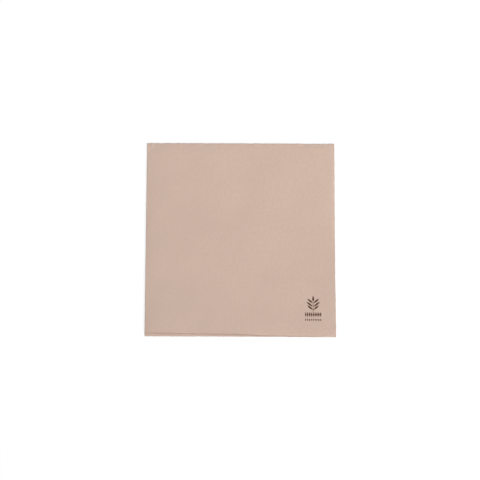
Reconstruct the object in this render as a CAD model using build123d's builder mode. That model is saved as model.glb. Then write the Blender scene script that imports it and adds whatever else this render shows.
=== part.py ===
from build123d import *

import math
import os

# A paper napkin: one sheet of two-ply tissue, folded side to side and then end to end, lying flat.
# The first fold is the edge on -X and the second fold the edge on +Y, so the cut edges of the
# sheet meet at the corner on +X and -Y. Layers lie in two pairs: the lower pair, and the upper
# pair that the second fold turned over on top of it.
# +Z is up. The origin is under the middle of the folded napkin, on the surface it lies on.

# Driving dimensions, in millimetres

sheet_width = 325.0  # flat sheet, across the first fold
sheet_length = 334.0  # flat sheet, across the second fold
paper_thickness = 0.28  # both plies, with the loft of the embossing
layer_gap = 0.24  # air between the two layers of a pair
pair_gap = 0.30  # air between the lower and the upper pair
side_step = 0.7  # the first fold is off the middle: outer layers reach this much past inner ones
end_step = 1.2  # the second fold is off the middle: the lower pair is this much longer

# First fold: two layers, joined on -X by a bend whose mid line has this radius

layer_pitch = paper_thickness + layer_gap
first_bend_radius = layer_pitch / 2
first_bend_reach = first_bend_radius + paper_thickness / 2
flat_across = sheet_width - math.pi * first_bend_radius
outer_run = (flat_across + side_step) / 2
inner_run = (flat_across - side_step) / 2
folded_width = first_bend_reach + outer_run
first_fold_x = first_bend_reach - folded_width / 2

# Second fold: the pair turns half round an axis above the lower pair

pair_height = paper_thickness + layer_pitch
second_axis_height = pair_height + pair_gap / 2
second_bend_radius = second_axis_height - pair_height / 2
flat_along = sheet_length - math.pi * second_bend_radius
lower_run = (flat_along + end_step) / 2
upper_run = (flat_along - end_step) / 2
folded_length = second_axis_height + lower_run
second_fold_y = folded_length / 2 - second_axis_height

# Heights of the four layers' mid planes, from the surface up

lower_outer_height = paper_thickness / 2
lower_inner_height = lower_outer_height + layer_pitch
upper_outer_height = 2 * second_axis_height - lower_outer_height
upper_inner_height = 2 * second_axis_height - lower_inner_height

# Both pairs are drawn towards -Y from sections on the plane where the second fold begins

fold_plane = Plane(origin=(0, second_fold_y, 0), x_dir=(1, 0, 0), z_dir=(0, -1, 0))
fold_axis = Axis(origin=(0, second_fold_y, second_axis_height), direction=(1, 0, 0))


def pair_section(outer_height, inner_height):
    """Section of a pair at the second fold: two layers and the first fold's bend between them."""
    with BuildSketch(fold_plane) as section:
        with BuildLine():
            outer_layer = Line(
                (first_fold_x + outer_run, outer_height), (first_fold_x, outer_height)
            )
            bend = TangentArc(
                outer_layer @ 1, (first_fold_x, inner_height), tangent=outer_layer % 1
            )
            Line(bend @ 1, (first_fold_x + inner_run, inner_height))
        trace(line_width=paper_thickness)
    return section.sketch


lower_section = pair_section(lower_outer_height, lower_inner_height)
upper_section = pair_section(upper_outer_height, upper_inner_height)

with BuildPart() as napkin:
    extrude(lower_section, amount=lower_run)
    extrude(upper_section, amount=upper_run)
    revolve(lower_section, axis=fold_axis, revolution_arc=180)

napkin.part.label = "napkin"
os.makedirs("parts", exist_ok=True)
export_step(napkin.part, "parts/napkin.step")

size = napkin.part.bounding_box().size
print(f"napkin: {size.X:.2f} x {size.Y:.2f} x {size.Z:.2f} mm folded")
print(f"paper: {napkin.part.volume:.0f} mm3, flat sheet {sheet_width * sheet_length * paper_thickness:.0f} mm3")
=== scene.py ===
"""A paper napkin folded in quarters: the sheet with its tissue and print, and a stage to see it on.

Everything is in metres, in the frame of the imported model: +Z up, the second fold towards +Y and the
first fold towards -X. The sheet also has flat coordinates of its own. "Across" runs from the top
layer's free side edge, over the first fold, to the free side edge of the layer beneath it. "Along"
runs from the top layer's open end, over the second fold, to the bottom layer's open end.
"""

import math
from types import SimpleNamespace

import bpy
import numpy as np
from bpy.props import FloatProperty, FloatVectorProperty, PointerProperty
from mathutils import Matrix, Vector


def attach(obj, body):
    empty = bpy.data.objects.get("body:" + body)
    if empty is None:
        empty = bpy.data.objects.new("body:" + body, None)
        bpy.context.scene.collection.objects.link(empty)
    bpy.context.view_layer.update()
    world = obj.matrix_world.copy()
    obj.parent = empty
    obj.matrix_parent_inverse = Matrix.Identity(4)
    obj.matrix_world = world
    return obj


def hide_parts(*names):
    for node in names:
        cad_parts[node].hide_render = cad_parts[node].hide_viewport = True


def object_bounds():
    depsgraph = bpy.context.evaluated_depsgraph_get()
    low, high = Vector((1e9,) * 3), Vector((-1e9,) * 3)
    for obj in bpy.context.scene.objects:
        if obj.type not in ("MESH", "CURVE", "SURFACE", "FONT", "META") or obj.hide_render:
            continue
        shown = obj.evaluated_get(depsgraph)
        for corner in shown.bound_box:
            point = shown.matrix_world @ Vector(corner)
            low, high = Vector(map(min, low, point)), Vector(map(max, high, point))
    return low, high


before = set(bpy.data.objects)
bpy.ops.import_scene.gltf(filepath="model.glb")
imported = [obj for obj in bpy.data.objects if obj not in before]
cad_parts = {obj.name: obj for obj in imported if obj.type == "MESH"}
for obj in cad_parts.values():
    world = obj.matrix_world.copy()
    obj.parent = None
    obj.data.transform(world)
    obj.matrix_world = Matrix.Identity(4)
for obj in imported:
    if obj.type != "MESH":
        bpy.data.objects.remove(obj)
CAD_LOW, CAD_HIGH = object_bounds()

bl_info = {
    "name": "Folded Paper Napkin",
    "version": (1, 0, 0),
    "blender": (4, 5, 0),
    "location": "3D View > Sidebar > Napkin",
    "description": "Folds a tissue napkin in quarters around its packed model, and sets a stage for it",
    "category": "Object",
}

MM = 0.001


# ---- Settings ----------------------------------------------------------------------------------


class NapkinSheetSettings(bpy.types.PropertyGroup):
    """The flat sheet and the way it is folded."""

    width: FloatProperty(
        name="Sheet width",
        description="Flat sheet, across the first fold",
        default=325 * MM,
        unit="LENGTH",
        precision=4,
    )
    length: FloatProperty(
        name="Sheet length",
        description="Flat sheet, across the second fold",
        default=334 * MM,
        unit="LENGTH",
        precision=4,
    )
    thickness: FloatProperty(
        name="Paper thickness",
        description="Both plies, with the loft of the embossing",
        default=0.28 * MM,
        unit="LENGTH",
        precision=5,
    )
    layer_gap: FloatProperty(
        name="Layer gap",
        description="Air between the two layers of a pair, at the folds",
        default=0.24 * MM,
        unit="LENGTH",
        precision=5,
    )
    pair_gap: FloatProperty(
        name="Pair gap",
        description="Air between the lower and the upper pair, at the folds",
        default=0.30 * MM,
        unit="LENGTH",
        precision=5,
    )
    side_step: FloatProperty(
        name="Side step",
        description="How far the outer layers' free side edges reach past the inner ones'",
        default=0.7 * MM,
        unit="LENGTH",
        precision=4,
    )
    end_step: FloatProperty(
        name="End step",
        description="How much longer the lower pair is than the upper pair",
        default=1.2 * MM,
        unit="LENGTH",
        precision=4,
    )
    loft: FloatProperty(
        name="Loft",
        description="How many times wider the air gaps are away from the folds",
        default=1.9,
        min=1.0,
        max=3.0,
    )
    mesh_step: FloatProperty(
        name="Mesh step",
        description="Spacing of the mesh on the outer layers, away from the folds",
        default=1.45 * MM,
        unit="LENGTH",
        precision=4,
    )


class NapkinTissueSettings(bpy.types.PropertyGroup):
    """The paper itself: unbleached tissue, creped and embossed."""

    colour: FloatVectorProperty(
        name="Tissue",
        description="Main colour of the paper",
        default=(0.610, 0.456, 0.376),
        subtype="COLOR",
        min=0.0,
        max=1.0,
    )
    dark_fibre: FloatVectorProperty(
        name="Dark fibres",
        description="Colour of the darker fibres and flecks",
        default=(0.30, 0.19, 0.125),
        subtype="COLOR",
        min=0.0,
        max=1.0,
    )
    pale_fibre: FloatVectorProperty(
        name="Pale fibres",
        description="Colour of the paler fibres",
        default=(0.78, 0.66, 0.57),
        subtype="COLOR",
        min=0.0,
        max=1.0,
    )
    emboss_pitch: FloatProperty(
        name="Emboss pitch",
        description="Distance between the dimples that hold the plies together",
        default=1.15 * MM,
        unit="LENGTH",
        precision=5,
    )
    emboss_depth: FloatProperty(
        name="Emboss depth",
        description="Depth of a dimple",
        default=0.055 * MM,
        unit="LENGTH",
        precision=5,
    )
    crepe_pitch: FloatProperty(
        name="Crepe pitch",
        description="Distance between the fine ridges that run across the paper",
        default=0.42 * MM,
        unit="LENGTH",
        precision=5,
    )
    crepe_depth: FloatProperty(
        name="Crepe depth",
        description="Height of the fine ridges",
        default=0.05 * MM,
        unit="LENGTH",
        precision=5,
    )


class NapkinPrintSettings(bpy.types.PropertyGroup):
    """The small ornament printed near the open corner."""

    ink: FloatVectorProperty(
        name="Ink",
        description="Colour of the ink on the paper",
        default=(0.075, 0.034, 0.014),
        subtype="COLOR",
        min=0.0,
        max=1.0,
    )
    from_side: FloatProperty(
        name="From side edge",
        description="Middle of the ornament, from the top layer's free side edge",
        default=19.0 * MM,
        unit="LENGTH",
        precision=4,
    )
    from_end: FloatProperty(
        name="From open end",
        description="Middle of the ornament, from the top layer's open end",
        default=23.1 * MM,
        unit="LENGTH",
        precision=4,
    )


class NapkinStageSettings(bpy.types.PropertyGroup):
    """Floor, light and camera."""

    lens: FloatProperty(
        name="Lens", description="Focal length", default=85.0, min=10.0, unit="CAMERA"
    )
    distance: FloatProperty(
        name="Camera distance",
        description="From the camera to the middle of the napkin",
        default=0.97752,
        unit="LENGTH",
    )
    tilt: FloatProperty(
        name="Camera tilt",
        description="How far the camera leans back from straight overhead",
        default=math.radians(6.904),
        subtype="ANGLE",
    )
    aim: FloatVectorProperty(
        name="Camera aim",
        description="Point the camera looks at",
        default=(0.179 * MM, -0.717 * MM, 0.0),
        subtype="TRANSLATION",
    )
    roll: FloatProperty(
        name="Camera roll",
        description="Turn of the camera about the upright",
        default=math.radians(0.226),
        subtype="ANGLE",
    )
    sky: FloatProperty(
        name="Sky", description="Light from all round", default=0.2, min=0.0, max=2.0
    )
    key: FloatProperty(
        name="Key", description="Power of the soft lamp on the right", default=141.7, unit="POWER"
    )
    fill: FloatProperty(
        name="Fill", description="Power of the lamp overhead", default=2.43, unit="POWER"
    )


# ---- Folding the sheet -------------------------------------------------------------------------


def fold_plan(sheet):
    """Where the flat sheet's folds fall, and where the folded sheet lies in the frame."""
    pitch = sheet.thickness + sheet.layer_gap
    plan = SimpleNamespace(width=sheet.width, length=sheet.length, thickness=sheet.thickness)
    plan.first_radius = pitch / 2
    plan.first_arc = math.pi * plan.first_radius
    plan.outer_run = (sheet.width - plan.first_arc + sheet.side_step) / 2
    plan.inner_run = (sheet.width - plan.first_arc - sheet.side_step) / 2
    plan.half_width = (plan.first_radius + sheet.thickness / 2 + plan.outer_run) / 2
    plan.first_fold = plan.half_width - plan.outer_run

    plan.second_radius = (sheet.thickness + pitch + sheet.pair_gap) / 2
    plan.second_arc = math.pi * plan.second_radius
    plan.lower_run = (sheet.length - plan.second_arc + sheet.end_step) / 2
    plan.upper_run = (sheet.length - plan.second_arc - sheet.end_step) / 2

    # The lower pair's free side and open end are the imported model's furthest +X and -Y.
    plan.line_middle = (CAD_HIGH.x - plan.half_width, CAD_LOW.y + plan.lower_run)
    plan.air = [sheet.layer_gap, sheet.pair_gap, sheet.layer_gap]
    plan.loft = sheet.loft
    return plan


def graded(length, first_step, widest, last_step, growth=1.18):
    """Distances from 0 to length, closer together at both ends than in the middle."""
    places = [0.0]
    while places[-1] < length:
        from_start = first_step + (growth - 1) * places[-1]
        from_stop = last_step + (growth - 1) * (length - places[-1])
        places.append(places[-1] + min(from_start, from_stop, widest))
    return np.array(places) * length / places[-1]


def lines_over_fold(near_run, arc, far_run, near_step, far_step, arc_parts):
    """Flat coordinates of the mesh's lines, from one edge over a fold to the other edge."""
    edge_step, fold_step = 0.5 * MM, 0.25 * MM
    near = graded(near_run, edge_step, near_step, fold_step)
    bend = near_run + arc * np.linspace(0, 1, arc_parts + 1)
    far = near_run + arc + graded(far_run, fold_step, far_step, edge_step)
    return np.concatenate([near[:-1], bend, far[1:]])


def ripple(side, depth, seed, count, shortest, longest):
    """Unevenness from about -1 to 1, made of waves of odd lengths and headings."""
    rng = np.random.default_rng(seed)
    total = 0.0
    for length in np.geomspace(shortest, longest, count):
        heading, start = rng.uniform(0, math.tau, 2)
        way = side * math.cos(heading) + depth * math.sin(heading)
        total = total + np.sin(way * math.tau / length + start)
    return total / math.sqrt(2 * count)


def window(place, low, high, soft):
    """1 between low and high, falling to 0 outside them over about the length soft."""
    return 0.25 * (1 + np.tanh((place - low) / soft)) * (1 + np.tanh((high - place) / soft))


def layer_heights(plan, side, depth):
    """Heights of the four layers' mid surfaces, from the bottom, at places on the folded sheet.

    Side is measured along the second fold's line from its middle, and depth away from that line.
    """
    from_first = np.clip(side + plan.half_width, 0, None)
    from_side = np.clip(plan.half_width - side, 0, None)
    from_end = np.clip(plan.lower_run - depth, 0, None)

    # The folds hold the layers down, and the paper droops where it ends.
    end_hold = 5 * MM + 5 * MM * window(side, 30 * MM, 1, 25 * MM)
    held = np.exp(-from_first / (8 * MM)) + np.exp(-depth / end_hold)
    droop_side = np.exp(-from_side / (2.4 * MM)) * window(depth, -1, 78 * MM, 14 * MM)
    droop_end = np.exp(-from_end / (2.4 * MM)) * window(side, 5 * MM, 1, 10 * MM)
    spring = np.clip(1 - held - 0.8 * (droop_side + droop_end), 0, 1)
    air = 1 + (plan.loft - 1) * spring

    # The folds aren't even along their length, least of all where they cross.
    crumple = np.exp(-from_first / (2 * MM)) + np.exp(-depth / (2 * MM))
    crumple = 0.25 * crumple * ripple(side, depth, 6, 6, 3 * MM, 9 * MM)
    pucker = 0.35 * np.exp(-np.hypot(from_first, depth) / (9 * MM))
    pucker = pucker * ripple(side, depth, 5, 5, 4 * MM, 11 * MM)

    # The cut edges flutter a little, and part at the open corner, where nothing holds them.
    flutter = np.exp(-from_side / (5 * MM)) + np.exp(-from_end / (5 * MM))
    parting = np.exp(-((np.hypot(from_side, from_end) / (28 * MM)) ** 2))
    bubble = window(side, 12 * MM, 62 * MM, 9 * MM) * window(depth, 22 * MM, 66 * MM, 13 * MM)
    bubble = bubble * (1 - 0.6 * window(side, 25 * MM, 1, 22 * MM))
    creases = 0.0
    for start, stop, middle in ((-76 * MM, -65 * MM, 0.9 * MM), (52 * MM, 71 * MM, 2.1 * MM)):
        dip = 0.5 + 0.5 * np.tanh((middle - depth) / (0.6 * MM))
        creases = creases + 0.19 * MM * dip * window(side, start, stop, 1.5 * MM)

    gaps = (
        # wave height, shortest and longest wave, share of bubble, of parting, of flutter, of creases
        (0.05 * MM, 24 * MM, 80 * MM, 0.00 * MM, 0.15 * MM, 0.04 * MM, 0),
        (0.15 * MM, 34 * MM, 120 * MM, 0.45 * MM, 0.25 * MM, 0.06 * MM, 0),
        (0.08 * MM, 19 * MM, 70 * MM, 0.30 * MM, 0.35 * MM, 0.08 * MM, 1),
    )
    bottom = plan.thickness / 2 + 0.03 * MM * (1 + ripple(side, depth, 10, 5, 30 * MM, 90 * MM))
    heights = [bottom]
    for number, (wave, shortest, longest, swell, part, shake, crease) in enumerate(gaps):
        gap = plan.air[number] * air * (1 + crumple + pucker)
        gap = gap + spring * wave * ripple(side, depth, 20 + number, 7, shortest, longest)
        gap = gap + spring * swell * bubble + part * parting - crease * creases
        gap = gap + shake * flutter * ripple(side, depth, 30 + number, 6, 7 * MM, 28 * MM)
        heights.append(heights[-1] + plan.thickness + np.maximum(gap, 0.04 * MM))
    return heights


def fold_sheet(plan, across, along):
    """Mid surface of the folded sheet: a grid of points for a grid of flat coordinates."""
    past_first = across - plan.outer_run
    turn = np.clip(past_first / plan.first_radius, 0, math.pi)
    side = np.where(past_first < 0, -past_first, np.maximum(past_first - plan.first_arc, 0))
    side = side + plan.first_fold

    past_second = along - plan.upper_run
    over = np.clip(past_second / plan.second_radius, 0, math.pi)
    depth = np.where(past_second < 0, -past_second, np.maximum(past_second - plan.second_arc, 0))

    first, second, third, fourth = layer_heights(plan, side, depth)
    inner = (1 - np.cos(turn)) / 2
    lower = (1 - np.cos(over)) / 2
    low = first + (second - first) * inner
    high = fourth + (third - fourth) * inner
    side = side - np.sin(turn) / 2 * ((fourth - third) * (1 - lower) + (second - first) * lower)
    reach = np.sin(over) * (high - low) / 2 - depth
    height = (high + low) / 2 + np.cos(over) * (high - low) / 2
    return np.stack([plan.line_middle[0] + side, plan.line_middle[1] + reach, height], axis=-1)


def unit(vectors):
    return vectors / np.linalg.norm(vectors, axis=-1, keepdims=True)


def sheet_grid(plan, step):
    """Flat coordinates of the mesh's lines, and the same with the cut edges' small waver."""
    across = lines_over_fold(plan.outer_run, plan.first_arc, plan.inner_run, step, 3 * MM, 10)
    along = lines_over_fold(plan.upper_run, plan.second_arc, plan.lower_run, step, 2.4 * MM, 14)
    flat = np.stack(np.meshgrid(across, along), axis=-1)
    cut = flat.copy()
    for axis, size in ((0, plan.width), (1, plan.length)):
        place, other = flat[..., axis], flat[..., 1 - axis]
        for edge, seed in ((0.0, 41 + axis), (size, 43 + axis)):
            near = np.exp(-np.abs(place - edge) / (3 * MM))
            waver = ripple(other, 0 * other, seed, 8, 2.5 * MM, 90 * MM)
            cut[..., axis] += 0.13 * MM * near * waver

    # The top open end is cut on a slight slant, shorter still by the first fold, and the lower
    # pair's open corner spreads a little.
    slant, short, spread, fade = 2.1 * MM, 0.9 * MM, 0.6 * MM, 12 * MM
    from_crease = np.abs(flat[..., 0] - plan.outer_run) / plan.outer_run
    from_side = np.minimum(flat[..., 0], plan.width - flat[..., 0])
    to_side = np.where(flat[..., 0] < plan.outer_run, -1.0, 1.0)
    from_end = plan.length - flat[..., 1]
    near_start = np.exp(-flat[..., 1] / fade)
    near_corner = np.exp(-from_side / fade) * window(-from_end, -42 * MM, 1, fade)
    cut[..., 1] += short * near_start * window(-from_crease, -0.6, 1, 0.1)
    cut[..., 1] -= slant * near_start * (from_crease - 0.5)
    cut[..., 0] += spread * near_corner * to_side
    return flat, cut


def grid_faces(rows, columns):
    """Corners of the grid's faces, four each, facing the printed side."""
    corner = np.arange(rows * columns).reshape(rows, columns)[:-1, :-1].ravel()
    return np.stack([corner, corner + columns, corner + columns + 1, corner + 1], axis=-1)


def edge_loop(rows, columns):
    """The grid's outline: each point's row and column, and which way is outwards there."""
    down, right = np.arange(rows), np.arange(columns)
    row = np.concatenate([down, 0 * right[1:] + rows - 1, down[-2::-1], 0 * right[-2:0:-1]])
    column = np.concatenate([0 * down, right[1:], 0 * down[1:] + columns - 1, right[-2:0:-1]])
    out_across = (column == columns - 1) * 1.0 - (column == 0)
    out_along = (row == rows - 1) * 1.0 - (row == 0)
    return row, column, unit(np.stack([out_across, out_along], axis=-1))


def shares(places, *stops):
    """Places on a line moved so that each stretch of it takes its own share of the bake image."""
    return np.interp(places, [stop[0] for stop in stops], [stop[1] for stop in stops])


def build_sheet(sheet):
    """The folded sheet as one closed mesh, with a map of its flat coordinates and one to bake."""
    plan = fold_plan(sheet)
    flat, cut = sheet_grid(plan, sheet.mesh_step)
    middle = fold_sheet(plan, cut[..., 0], cut[..., 1])
    rows, columns = middle.shape[:2]
    way_along, way_across = (unit(way) for way in np.gradient(middle, axis=(0, 1)))
    normal = unit(np.cross(way_along, way_across))
    half = plan.thickness / 2

    # Between the two sides, the cut edge shows both plies with a fine groove between them.
    row, column, out_flat = edge_loop(rows, columns)
    outward = way_across[row, column] * out_flat[:, :1] + way_along[row, column] * out_flat[:, 1:]
    rim_middle, rim_normal = middle[row, column], normal[row, column]
    round_rim = np.arange(len(row)) * MM
    top_ply, low_ply = (
        0.035 * MM * ripple(round_rim, 0.0, seed, 6, 2 * MM, 30 * MM) for seed in (51, 52)
    )
    groove = np.full(len(row), -0.07 * MM)
    rim_rows = ((0.12, top_ply), (0.0, groove), (-0.12, low_ply))
    rim = [
        rim_middle + rim_normal * half * height + outward * out[:, None] for height, out in rim_rows
    ]
    points = np.concatenate(
        [(middle + normal * half).reshape(-1, 3), (middle - normal * half).reshape(-1, 3)] + rim
    )

    count = rows * columns
    around = np.arange(len(row))
    rings = [row * columns + column] + [2 * count + len(row) * ring + around for ring in range(3)]
    rings.append(count + row * columns + column)
    printed = grid_faces(rows, columns)
    plain = printed[:, ::-1] + count
    strips = [
        np.stack([upper, below, np.roll(below, -1), np.roll(upper, -1)], axis=-1)
        for upper, below in zip(rings, rings[1:])
    ]
    faces = np.concatenate([printed, plain] + strips)

    mesh = bpy.data.meshes.new("napkin_sheet")
    mesh.from_pydata(points.tolist(), [], faces.tolist())
    mesh.polygons.foreach_set("use_smooth", np.ones(len(faces), bool))
    ring_of = np.zeros(len(points), int)
    for number in (0, 2, 4):
        ring_of[rings[number]] = number + 1
    ends = np.zeros(len(mesh.edges) * 2, int)
    mesh.edges.foreach_get("vertices", ends)
    one, other = ring_of[ends.reshape(-1, 2)].T
    sharp = mesh.attributes.new("sharp_edge", "BOOLEAN", "EDGE")
    sharp.data.foreach_set("value", (one == other) & (one > 0))

    # The map of flat coordinates keeps the plain side one metre further across.
    flat_points = flat.reshape(-1, 2)
    flat_rim = [
        flat[row, column] + out_flat * plan.thickness * down for down in (0.0, 0.44, 0.5, 0.56, 1.0)
    ]
    flat_map = [flat_points[printed], flat_points[plain - count] + (1.0, 0.0)]
    flat_map += [
        np.stack([a, b, np.roll(b, -1, axis=0), np.roll(a, -1, axis=0)], axis=1)
        for a, b in zip(flat_rim, flat_rim[1:])
    ]

    # The map to bake gives most of its room to the top of the folded napkin.
    along_stops = ((0, 0.004), (plan.upper_run + plan.second_arc / 2, 0.66), (plan.length, 0.996))
    first_turn = plan.outer_run + plan.first_arc / 2
    bake_along = shares(flat_points[:, 1], *along_stops)
    bake_printed = shares(flat_points[:, 0], (0, 0.004), (first_turn, 0.76), (plan.width, 0.86))
    bake_plain = shares(flat_points[:, 0], (0, 0.875), (first_turn, 0.93), (plan.width, 0.965))
    bake_printed = np.stack([bake_printed, bake_along], axis=-1)
    bake_plain = np.stack([bake_plain, bake_along], axis=-1)
    steps = np.linalg.norm(np.roll(flat[row, column], -1, axis=0) - flat[row, column], axis=-1)
    travel = np.concatenate([[0.0], np.cumsum(steps)])
    travel = 0.004 + 0.992 * travel / travel[-1]
    bake_map = [bake_printed[printed], bake_plain[plain - count]]
    for number in range(4):
        left = 0.974 + 0.0055 * number
        across = np.broadcast_to([left, left + 0.0055, left + 0.0055, left], (len(row), 4))
        up = np.stack([travel[:-1], travel[:-1], travel[1:], travel[1:]], axis=-1)
        bake_map.append(np.stack([across, up], axis=-1))
    for name, corners in (("OFBake", bake_map), ("sheet", flat_map)):
        layer = mesh.uv_layers.new(name=name, do_init=False)
        layer.uv.foreach_set("vector", np.concatenate(corners).astype(np.float32).ravel())
    mesh.update()
    return mesh


# ---- Tissue and ink ----------------------------------------------------------------------------


class Field:
    """A value that nodes of one tree work out at each point of a surface."""

    def __init__(self, tree, socket):
        self.tree = tree
        self.socket = socket

    def math(self, operation, *others):
        return add_node(self.tree, "ShaderNodeMath", (self, *others), operation=operation)

    def vector(self, operation, *others, output=0):
        return add_node(
            self.tree, "ShaderNodeVectorMath", (self, *others), output, operation=operation
        )

    def __add__(self, other):
        return self.math("ADD", other)

    def __sub__(self, other):
        return self.math("SUBTRACT", other)

    def __mul__(self, other):
        return self.math("MULTIPLY", other)

    def __truediv__(self, other):
        return self.math("DIVIDE", other)

    def beside(self, output):
        """Another output of the same node."""
        return Field(self.tree, self.socket.node.outputs[output])

    def abs(self):
        return self.math("ABSOLUTE")

    def ramp(self, low, high, to_low=0.0, to_high=1.0):
        """This value taken smoothly from one range to another, and held at its ends."""
        node_inputs = {"Value": self, "From Min": low, "From Max": high, "To Min": to_low}
        return add_node(
            self.tree,
            "ShaderNodeMapRange",
            {**node_inputs, "To Max": to_high},
            interpolation_type="SMOOTHSTEP",
        )


def add_node(tree, kind, inputs=(), output=0, **settings):
    """Add a node, connect or set its inputs by name or in order, and return one of its outputs."""
    node = tree.nodes.new(kind)
    number = len(tree.nodes) - 1
    node.location = (number % 14 * 190, -(number // 14) * 330)
    for name, value in settings.items():
        setattr(node, name, value)
    named = inputs.items() if hasattr(inputs, "items") else enumerate(inputs)
    for name, value in named:
        if isinstance(value, Field):
            tree.links.new(value.socket, node.inputs[name])
        else:
            node.inputs[name].default_value = value
    return Field(tree, node.outputs[output])


def noise(place, scale, detail=2.0, roughness=0.5, distortion=0.0):
    """Smooth noise around 0.5, with scale features to the unit."""
    inputs = {"Vector": place, "Scale": scale, "Detail": detail, "Roughness": roughness}
    return add_node(
        place.tree,
        "ShaderNodeTexNoise",
        {**inputs, "Distortion": distortion},
        noise_dimensions="2D",
    )


def turned(place, angle, scale=(1, 1, 1), shift=(0, 0, 0)):
    """Place seen in axes turned by an angle, shifted and stretched."""
    inputs = {"Vector": place, "Location": shift, "Rotation": (0, 0, angle), "Scale": scale}
    return add_node(place.tree, "ShaderNodeMapping", inputs, vector_type="POINT")


def mix_colours(fac, one, other):
    """Mix of two colours, each a field or four numbers."""
    return add_node(
        fac.tree, "ShaderNodeMix", {0: fac, 6: one, 7: other}, output=2, data_type="RGBA"
    )


def new_group(name, sockets):
    """An empty node group with the given sockets, and its group input's fields by name."""
    group = bpy.data.node_groups.new(name, "ShaderNodeTree")
    for socket_name, direction, kind in sockets:
        group.interface.new_socket(socket_name, in_out=direction, socket_type=kind)
    entry = group.nodes.new("NodeGroupInput")
    entry.location = (-300, 0)
    return group, {socket.name: Field(group, socket) for socket in entry.outputs if socket.name}


def add_leaf(place, middle, angle, length, width):
    """Signed distance, in millimetres, to a leaf pointed at both ends."""
    radius = (length**2 + width**2) / (4 * width)
    local = place.vector("SUBTRACT", (*middle, 0))
    forward = local.vector("DOT_PRODUCT", (math.cos(angle), math.sin(angle), 0), output=1)
    sideways = local.vector("DOT_PRODUCT", (-math.sin(angle), math.cos(angle), 0), output=1)
    sideways = sideways.abs() + (radius - width / 2)
    around = add_node(place.tree, "ShaderNodeCombineXYZ", (forward, sideways, 0.0))
    return around.vector("LENGTH", output=1) - radius


def add_bar(across, up, middle, half_width, half_height):
    """Signed distance, in millimetres, to an upright bar or the side of one."""
    return (across.abs() - half_width).math("MAXIMUM", (up - middle).abs() - half_height)


def fibre_group():
    """Node group: short fibres scattered at random, about one to each cell of an uneven grid."""
    numbers = ("Spacing", "Length", "Width", "Share")
    group, entry = new_group(
        "Scattered fibres",
        (
            ("Place", "INPUT", "NodeSocketVector"),
            *((name, "INPUT", "NodeSocketFloat") for name in numbers),
            ("Fibre", "OUTPUT", "NodeSocketFloat"),
        ),
    )
    spread = add_node(group, "ShaderNodeMath", (1.0, entry["Spacing"]), operation="DIVIDE")
    cells = add_node(
        group,
        "ShaderNodeTexVoronoi",
        {"Vector": entry["Place"], "Scale": spread, "Randomness": 1.0},
        output="Position",
        voronoi_dimensions="2D",
    )
    drawn = add_node(
        group, "ShaderNodeSeparateColor", (cells.beside("Color"),), output="Red"
    )
    turn = drawn * math.tau
    local = entry["Place"].vector("SUBTRACT", cells)
    way = add_node(group, "ShaderNodeCombineXYZ", (turn.math("COSINE"), turn.math("SINE"), 0.0))
    athwart = way.vector("CROSS_PRODUCT", (0, 0, 1))
    along = local.vector("DOT_PRODUCT", way, output=1).abs()
    bend = (drawn.beside("Blue") - 0.5) * along * along / entry["Length"]
    across = (local.vector("DOT_PRODUCT", athwart, output=1) + bend).abs()
    half_length = entry["Length"] * (drawn.beside("Blue") * 0.7 + 0.3) / 2
    thin = across.ramp(entry["Width"] * 0.35, entry["Width"], 1.0, 0.0)
    ended = along.ramp(half_length * 0.7, half_length, 1.0, 0.0)
    chosen = entry["Share"].math("GREATER_THAN", drawn.beside("Green"))
    leave = group.nodes.new("NodeGroupOutput")
    leave.location = (2700, 0)
    group.links.new((thin * ended * chosen).socket, leave.inputs["Fibre"])
    return group


def scattered(group, place, shift, spacing, length, width, share):
    """Fibres from the group, each layer shifted so that no two fall alike. Sizes in millimetres."""
    inputs = {"Spacing": spacing, "Length": length, "Width": width, "Share": share}
    moved = place.vector("ADD", (shift, shift / 2, 0))
    return add_node(place.tree, "ShaderNodeGroup", {"Place": moved, **inputs}, node_tree=group)


def ornament_group():
    """Node group: a leaf sprig over two rows of lozenges, drawn in millimetres."""
    group, entry = new_group(
        "Napkin ornament",
        (
            ("Place", "INPUT", "NodeSocketVector"),
            ("Coverage", "OUTPUT", "NodeSocketFloat"),
        ),
    )
    place = entry["Place"]
    wobble = noise(place, 4.0, detail=3.0)
    across = add_node(group, "ShaderNodeSeparateXYZ", (place,), output="X")
    up = across.beside("Y")
    mirrored = add_node(group, "ShaderNodeCombineXYZ", (across.abs(), up, 0.0))

    shape = add_leaf(place, (0.0, 8.2), math.radians(90), 4.8, 1.6)
    for middle, length in (((2.6, 6.3), 5.9), ((3.0, 3.5), 6.9), ((2.6, 0.7), 5.9)):
        leaf = add_leaf(mirrored, middle, math.radians(38), length, 1.45)
        shape = shape.math("MINIMUM", leaf)
    shape = shape.math("MINIMUM", add_bar(across, up, 1.8, 0.2, 4.5))

    # Each row repeats one mark across the ornament's width.
    for pitch, middle, half_width, half_height, last in (
        (1.6, -5.2, 0.70, 2.3, 7.2),
        (1.6, -9.6, 0.56, 1.15, 7.2),
    ):
        centred = (across + pitch / 2).math("FLOORED_MODULO", pitch) - pitch / 2
        slope = math.hypot(1 / half_width, 1 / half_height)
        mark = centred.abs() / half_width + (up - middle).abs() / half_height
        mark = ((mark - 1) / slope).math("MAXIMUM", across.abs() - last)
        shape = shape.math("MINIMUM", mark)

    edge = shape + (wobble - 0.5) * 0.22
    worn = noise(place, 2.2, detail=4.0, roughness=0.7).ramp(0.28, 0.52, 0.78, 1.0)
    coverage = edge.ramp(-0.06, 0.07, 1.0, 0.0) * worn
    leave = group.nodes.new("NodeGroupOutput")
    leave.location = (2700, 0)
    group.links.new(coverage.socket, leave.inputs["Coverage"])
    return group


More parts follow.
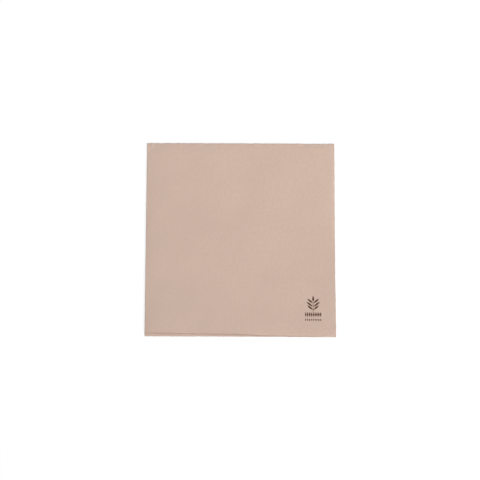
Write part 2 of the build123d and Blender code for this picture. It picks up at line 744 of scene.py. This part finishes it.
def tissue_material(tissue, ornament):
    """Unbleached two-ply tissue: cloudy and fibrous, creped and dimpled, with the ink on it."""
    material = bpy.data.materials.new("kraft tissue")
    material.use_nodes = True
    tree = material.node_tree
    tree.nodes.clear()
    flat = add_node(tree, "ShaderNodeUVMap", uv_map="sheet")
    place = flat.vector("SCALE")
    place.socket.node.inputs["Scale"].default_value = 1000.0  # millimetres from here on

    cloud = noise(place, 1 / 38, detail=4.0, roughness=0.55).ramp(0.25, 0.75, 0.985, 1.015)
    floc = noise(place, 1 / 2.6, detail=4.0, roughness=0.65).ramp(0.2, 0.8, 0.975, 1.025)
    shade = cloud * floc
    fibres = fibre_group()
    pale = scattered(fibres, place, 0.0, 1.1, 0.75, 0.05, 0.8)
    dark = scattered(fibres, place, 31.0, 1.9, 1.0, 0.05, 0.55)
    fleck = scattered(fibres, place, 77.0, 5.0, 0.26, 0.11, 0.3)
    colour = mix_colours(pale * 0.50, (*tissue.colour, 1), (*tissue.pale_fibre, 1))
    colour = mix_colours(dark * 0.45, colour, (*tissue.dark_fibre, 1))
    colour = mix_colours(fleck * 0.45, colour, (*tissue.dark_fibre, 1))
    colour = colour.vector("SCALE")
    tree.links.new(shade.socket, colour.socket.node.inputs["Scale"])

    across = add_node(tree, "ShaderNodeSeparateXYZ", (place,), output="X")
    up = across.beside("Y")
    centre = (ornament.from_side / MM, ornament.from_end / MM)
    mark_place = add_node(
        tree, "ShaderNodeCombineXYZ", ((across - centre[0]) * -1.0, up - centre[1], 0.0)
    )
    mark = add_node(tree, "ShaderNodeGroup", {"Place": mark_place}, node_tree=ornament_group())
    colour = mix_colours(mark, colour, (*ornament.ink, 1))

    # Heights in metres: fine crepe ridges, soft dimples in staggered rows, and loose fibres.
    crepe = noise(turned(place, 0.0, (0.22, 1.0, 1)), MM / tissue.crepe_pitch, 2.0, 0.55, 0.4)
    pitch = tissue.emboss_pitch / MM
    dimple = None
    for start in (0.0, 0.5):
        step_across = (across / pitch + start).math("FRACT") - 0.5
        step_up = (up / (pitch * 0.87) / 2 + start).math("FRACT") - 0.5
        spot = add_node(tree, "ShaderNodeCombineXYZ", (step_across, step_up * 1.74, 0.0))
        spot = spot.vector("LENGTH", output=1).ramp(0.08, 0.34, -1, 0)
        dimple = spot if dimple is None else dimple.math("MINIMUM", spot)
    fuzz = noise(place, 6.0, detail=3.0, roughness=0.6)
    height = crepe * tissue.crepe_depth + dimple * tissue.emboss_depth + fuzz * (0.006 * MM)
    height = height + pale.math("MAXIMUM", dark) * (0.006 * MM)
    bump = add_node(
        tree, "ShaderNodeBump", {"Strength": 1.0, "Distance": 1.0, "Height": height}
    )
    surface = add_node(
        tree,
        "ShaderNodeBsdfPrincipled",
        {
            "Base Color": colour,
            "Roughness": 0.92,
            "IOR": 1.45,
            "Specular IOR Level": 0.25,
            "Sheen Weight": 0.06,
            "Sheen Roughness": 0.6,
            "Normal": bump,
        },
    )
    out = tree.nodes.new("ShaderNodeOutputMaterial")
    out.location = (2900, 0)
    tree.links.new(surface.socket, out.inputs["Surface"])
    return material


# ---- Stage -------------------------------------------------------------------------------------


def floor_material():
    """A pale floor: near white to the camera, with a soft shadow, and plain to everything else."""
    material = bpy.data.materials.new("pale floor")
    material.use_nodes = True
    tree = material.node_tree
    tree.nodes.clear()
    rays = add_node(tree, "ShaderNodeLightPath", output="Is Camera Ray")
    seen = add_node(tree, "ShaderNodeBsdfDiffuse", {"Color": (0.2, 0.2, 0.2, 1)})
    glow = add_node(tree, "ShaderNodeEmission", {"Color": (1, 1, 1, 1), "Strength": 0.83})
    plain = add_node(tree, "ShaderNodeBsdfDiffuse", {"Color": (0.8, 0.8, 0.8, 1)})
    shown = add_node(tree, "ShaderNodeAddShader", (seen, glow))
    both = add_node(tree, "ShaderNodeMixShader", (rays, plain, shown))
    out = tree.nodes.new("ShaderNodeOutputMaterial")
    out.location = (1400, 0)
    tree.links.new(both.socket, out.inputs["Surface"])
    return material


def white_world(strength):
    """Even light from all round, and plain white behind everything."""
    world = bpy.data.worlds.new("soft white")
    world.use_nodes = True
    tree = world.node_tree
    tree.nodes.clear()
    rays = add_node(tree, "ShaderNodeLightPath", output="Is Camera Ray")
    light = rays.ramp(0.0, 1.0, strength, 1.0)
    sky = add_node(tree, "ShaderNodeBackground", {"Color": (1, 1, 1, 1), "Strength": light})
    out = tree.nodes.new("ShaderNodeOutputWorld")
    out.location = (900, 0)
    tree.links.new(sky.socket, out.inputs["Surface"])
    return world


def add_lamp(name, place, aim, size, power):
    """A square soft lamp at a place, turned to a point."""
    light = bpy.data.lights.new(name, "AREA")
    light.size = size
    light.energy = power
    lamp = bpy.data.objects.new(name, light)
    lamp.location = place
    lamp.rotation_euler = (Vector(aim) - Vector(place)).to_track_quat("-Z", "Y").to_euler()
    bpy.context.scene.collection.objects.link(lamp)
    return lamp


# ---- Operators ---------------------------------------------------------------------------------


class NAPKIN_OT_fold_sheet(bpy.types.Operator):
    """Fold the napkin's sheet in quarters, in its tissue and with its ornament"""

    bl_idname = "napkin.fold_sheet"
    bl_label = "Fold Sheet"
    bl_options = {"REGISTER", "UNDO"}

    def execute(self, context):
        scene = context.scene
        piece = bpy.data.objects.new("napkin_sheet", build_sheet(scene.napkin_sheet))
        scene.collection.objects.link(piece)
        piece.data.materials.append(tissue_material(scene.napkin_tissue, scene.napkin_print))
        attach(piece, "root")
        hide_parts("napkin")
        return {"FINISHED"}


class NAPKIN_OT_set_stage(bpy.types.Operator):
    """Add a pale floor, soft lamps and a camera overhead"""

    bl_idname = "napkin.set_stage"
    bl_label = "Set Stage"
    bl_options = {"REGISTER", "UNDO"}

    def execute(self, context):
        scene = context.scene
        stage = scene.napkin_stage
        mesh = bpy.data.meshes.new("floor")
        reach, level = 4.0, -0.2 * MM
        corners = [(-reach, -reach), (reach, -reach), (reach, reach), (-reach, reach)]
        mesh.from_pydata([(x, y, level) for x, y in corners], [], [(0, 1, 2, 3)])
        mesh.materials.append(floor_material())
        floor = bpy.data.objects.new("floor", mesh)
        scene.collection.objects.link(floor)
        scene.world = white_world(stage.sky)
        key = add_lamp("key lamp", (2.2, -2.3, 2.6), (0, 0, 0), 1.6, stage.key)
        fill = add_lamp("top lamp", (0.12, 0.35, 0.7), (0.12, 0.35, 0), 0.5, stage.fill)

        eye = bpy.data.cameras.new("camera")
        eye.lens = stage.lens
        eye.sensor_width = 36.0
        eye.clip_start = 0.01
        camera = bpy.data.objects.new("camera", eye)
        aim = Vector(stage.aim)
        camera.location = aim + stage.distance * Vector(
            (0, -math.sin(stage.tilt), math.cos(stage.tilt))
        )
        camera.rotation_euler = (stage.tilt, 0, stage.roll)
        scene.collection.objects.link(camera)
        scene.camera = camera
        scene.view_settings.view_transform = "Standard"
        return {"FINISHED"}


class NAPKIN_PT_folded(bpy.types.Panel):
    """The napkin's settings and the steps that make it"""

    bl_idname = "NAPKIN_PT_folded"
    bl_label = "Folded Napkin"
    bl_space_type = "VIEW_3D"
    bl_region_type = "UI"
    bl_category = "Napkin"

    def draw(self, context):
        scene = context.scene
        groups = (
            (NAPKIN_OT_fold_sheet, ("napkin_sheet", "napkin_tissue", "napkin_print")),
            (NAPKIN_OT_set_stage, ("napkin_stage",)),
        )
        for operator, names in groups:
            box = self.layout.box()
            for name in names:
                settings = getattr(scene, name)
                for item in settings.bl_rna.properties:
                    if item.identifier not in {"rna_type", "name"}:
                        box.prop(settings, item.identifier)
            box.operator(operator.bl_idname)


CLASSES = (
    NapkinSheetSettings,
    NapkinTissueSettings,
    NapkinPrintSettings,
    NapkinStageSettings,
    NAPKIN_OT_fold_sheet,
    NAPKIN_OT_set_stage,
    NAPKIN_PT_folded,
)

SETTINGS = {
    "napkin_sheet": NapkinSheetSettings,
    "napkin_tissue": NapkinTissueSettings,
    "napkin_print": NapkinPrintSettings,
    "napkin_stage": NapkinStageSettings,
}


def register():
    for item in CLASSES:
        bpy.utils.register_class(item)
    for name, kind in SETTINGS.items():
        setattr(bpy.types.Scene, name, PointerProperty(type=kind))


def unregister():
    for name in SETTINGS:
        delattr(bpy.types.Scene, name)
    for item in reversed(CLASSES):
        bpy.utils.unregister_class(item)


def main():
    register()
    bpy.ops.napkin.fold_sheet()
    bpy.ops.napkin.set_stage()


if __name__ == "__main__":
    main()
